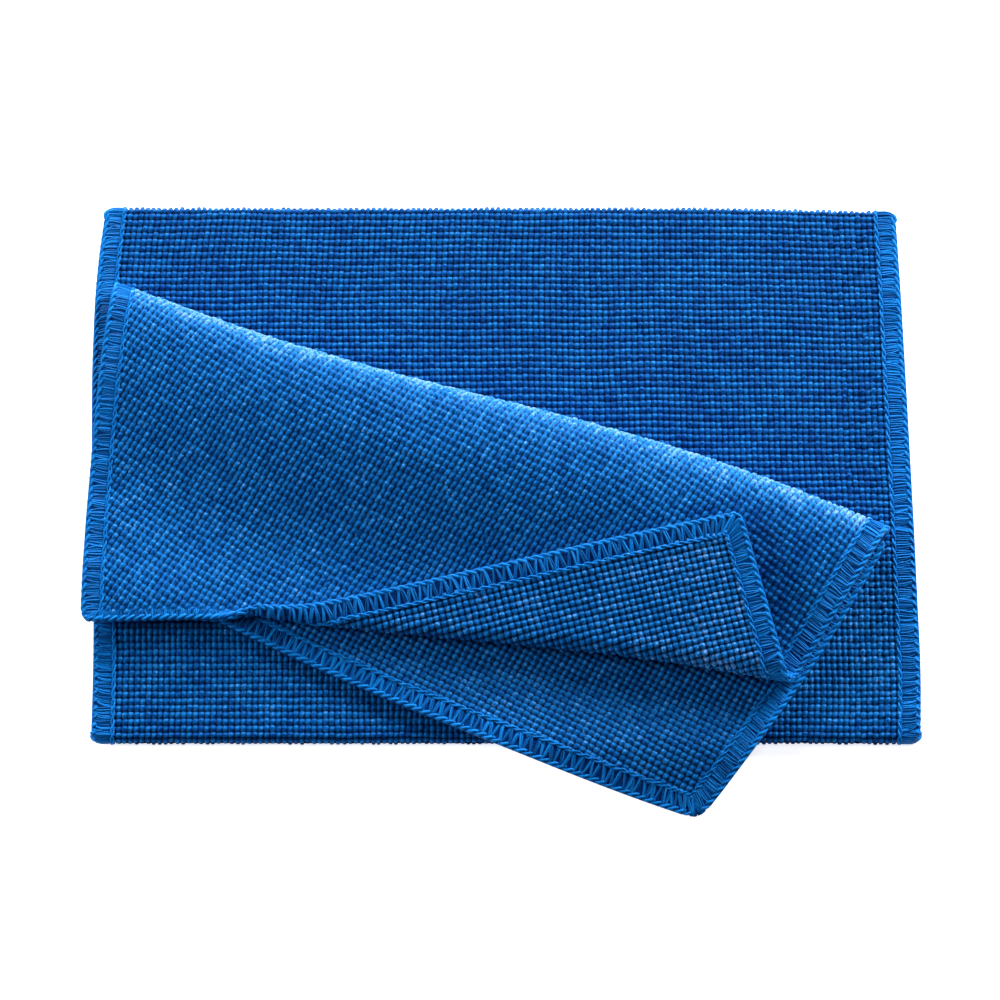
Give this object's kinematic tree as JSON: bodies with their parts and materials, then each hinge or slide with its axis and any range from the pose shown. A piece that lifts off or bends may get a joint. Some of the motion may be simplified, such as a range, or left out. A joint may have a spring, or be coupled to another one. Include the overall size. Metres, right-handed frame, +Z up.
{
  "type": "microfibre cloth",
  "caption": "Folded pearl-knit microfibre cleaning cloth with overlocked hems, its upper layer folded on a slant and one free corner curled back.",
  "frame": {"origin": "bottom centre of the box round the folded cloth, on the surface it lies on", "axes": "+X along the package from its left side hem to its right one, +Y from the front fold to the rear fold, +Z up"},
  "size_m": [0.3068, 0.2394, 0.0303],
  "materials": {
    "lower_blue": "matt mid-blue pearl-knit microfibre, same-colour overlock thread",
    "upper_blue": "matt mid-blue pearl-knit microfibre, same-colour overlock thread"
  },
  "bodies": {
    "root": {"lower_cloth": "lower_blue", "upper_cloth": "upper_blue"}
  },
  "joints": []
}
